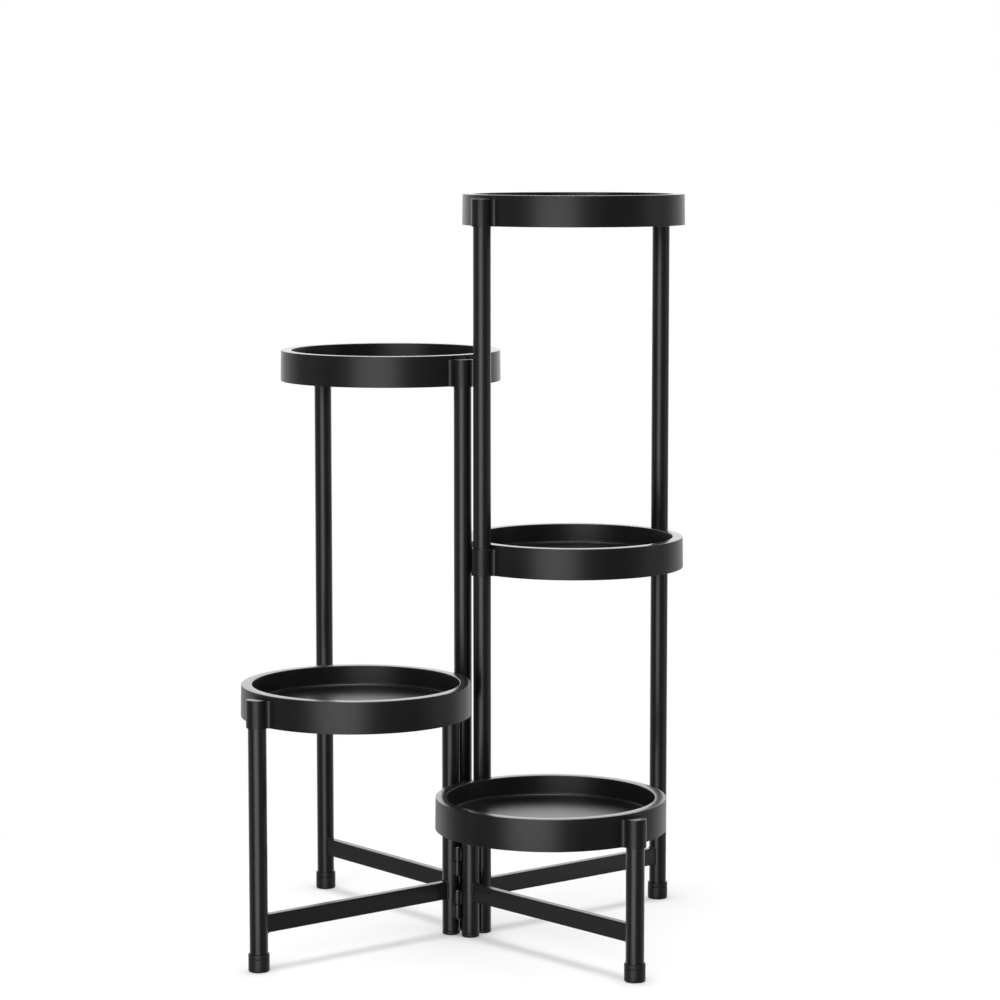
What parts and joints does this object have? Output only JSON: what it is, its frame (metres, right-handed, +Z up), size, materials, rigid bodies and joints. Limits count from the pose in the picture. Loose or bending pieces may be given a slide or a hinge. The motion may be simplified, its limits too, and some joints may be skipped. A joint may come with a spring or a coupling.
{
  "type": "tiered plant stand",
  "caption": "Folding tiered plant stand: upright round-tube frames hinged round a common centre, each carrying shallow round black trays at its own height.",
  "frame": {"origin": "middle of the bounding box's foot, on the floor between the four frames", "axes": "+Z up along the posts; -Y is the front, from which the two low trays stand before the tall ones; +X to the right seen from the front"},
  "size_m": [0.47, 0.465, 0.792],
  "materials": {
    "black_paint": "satin powder coat",
    "black_tray": "semi-gloss moulded",
    "black_cap": "satin moulded",
    "pin_steel": "plain turned"
  },
  "bodies": {
    "back_right_frame": {"back_right_inner_post": "black_paint", "back_right_outer_post": "black_paint", "back_right_crossbar": "black_paint", "back_right_foot_cap": "black_cap", "back_right_end_plug": "black_cap", "back_hinge_lower_bottom_barrel": "black_paint", "back_hinge_lower_pin": "pin_steel", "back_hinge_upper_bottom_barrel": "black_paint", "back_hinge_upper_pin": "pin_steel"},
    "back_left_frame": {"back_left_inner_post": "black_paint", "back_left_outer_post": "black_paint", "back_left_crossbar": "black_paint", "back_left_foot_cap": "black_cap", "back_left_end_plug": "black_cap", "back_hinge_lower_top_barrel": "black_paint", "back_hinge_upper_top_barrel": "black_paint", "left_hinge_lower_bottom_barrel": "black_paint", "left_hinge_lower_pin": "pin_steel", "left_hinge_upper_bottom_barrel": "black_paint", "left_hinge_upper_pin": "pin_steel"},
    "front_left_frame": {"front_left_inner_post": "black_paint", "front_left_outer_post": "black_paint", "front_left_crossbar": "black_paint", "front_left_foot_cap": "black_cap", "front_left_end_plug": "black_cap", "left_hinge_lower_top_barrel": "black_paint", "left_hinge_upper_top_barrel": "black_paint", "front_hinge_lower_bottom_barrel": "black_paint", "front_hinge_lower_pin": "pin_steel", "front_hinge_upper_bottom_barrel": "black_paint", "front_hinge_upper_pin": "pin_steel"},
    "front_right_frame": {"front_right_inner_post": "black_paint", "front_right_outer_post": "black_paint", "front_right_crossbar": "black_paint", "front_right_foot_cap": "black_cap", "front_right_end_plug": "black_cap", "front_hinge_lower_top_barrel": "black_paint", "front_hinge_upper_top_barrel": "black_paint"},
    "lowest_tray": {"tray_1": "black_tray", "tray_1_inner_socket": "black_tray", "tray_1_outer_socket": "black_tray"},
    "second_tray": {"tray_2": "black_tray", "tray_2_inner_socket": "black_tray", "tray_2_outer_socket": "black_tray"},
    "middle_tray": {"tray_3": "black_tray", "tray_3_inner_socket": "black_tray", "tray_3_outer_socket": "black_tray"},
    "fourth_tray": {"tray_4": "black_tray", "tray_4_inner_socket": "black_tray", "tray_4_outer_socket": "black_tray"},
    "top_tray": {"tray_5": "black_tray", "tray_5_inner_socket": "black_tray", "tray_5_outer_socket": "black_tray"},
    "upper_posts": {"upper_inner_post": "black_paint", "upper_outer_post": "black_paint", "upper_inner_spigot": "black_cap", "upper_outer_spigot": "black_cap"}
  },
  "joints": [
    {"name": "back_fold", "type": "hinge", "parent": "back_right_frame", "child": "back_left_frame", "pos_m": [0.00935, 0.01379, 0.058], "axis": [0, 0, 1], "range_deg": [-25, 1]},
    {"name": "left_fold", "type": "hinge", "parent": "back_left_frame", "child": "front_left_frame", "pos_m": [-0.01628, 0.00754, 0.058], "axis": [0, 0, 1], "range_deg": [-70, 1]},
    {"name": "front_fold", "type": "hinge", "parent": "front_left_frame", "child": "front_right_frame", "pos_m": [-0.01003, -0.01809, 0.058], "axis": [0, 0, 1], "range_deg": [-74, 1]},
    {"name": "lowest_tray_lift", "type": "slide", "parent": "front_right_frame", "child": "lowest_tray", "axis": [0, 0, 1], "range_m": [0, 0.045]},
    {"name": "second_tray_lift", "type": "slide", "parent": "front_left_frame", "child": "second_tray", "axis": [0, 0, 1], "range_m": [0, 0.045]},
    {"name": "fourth_tray_lift", "type": "slide", "parent": "back_left_frame", "child": "fourth_tray", "axis": [0, 0, 1], "range_m": [0, 0.045]},
    {"name": "middle_tray_lift", "type": "slide", "parent": "back_right_frame", "child": "middle_tray", "axis": [0, 0, 1], "range_m": [0, 0.045]},
    {"name": "upper_posts_lift", "type": "slide", "parent": "middle_tray", "child": "upper_posts", "axis": [0, 0, 1], "range_m": [0, 0.06]},
    {"name": "top_tray_lift", "type": "slide", "parent": "upper_posts", "child": "top_tray", "axis": [0, 0, 1], "range_m": [0, 0.045]}
  ]
}
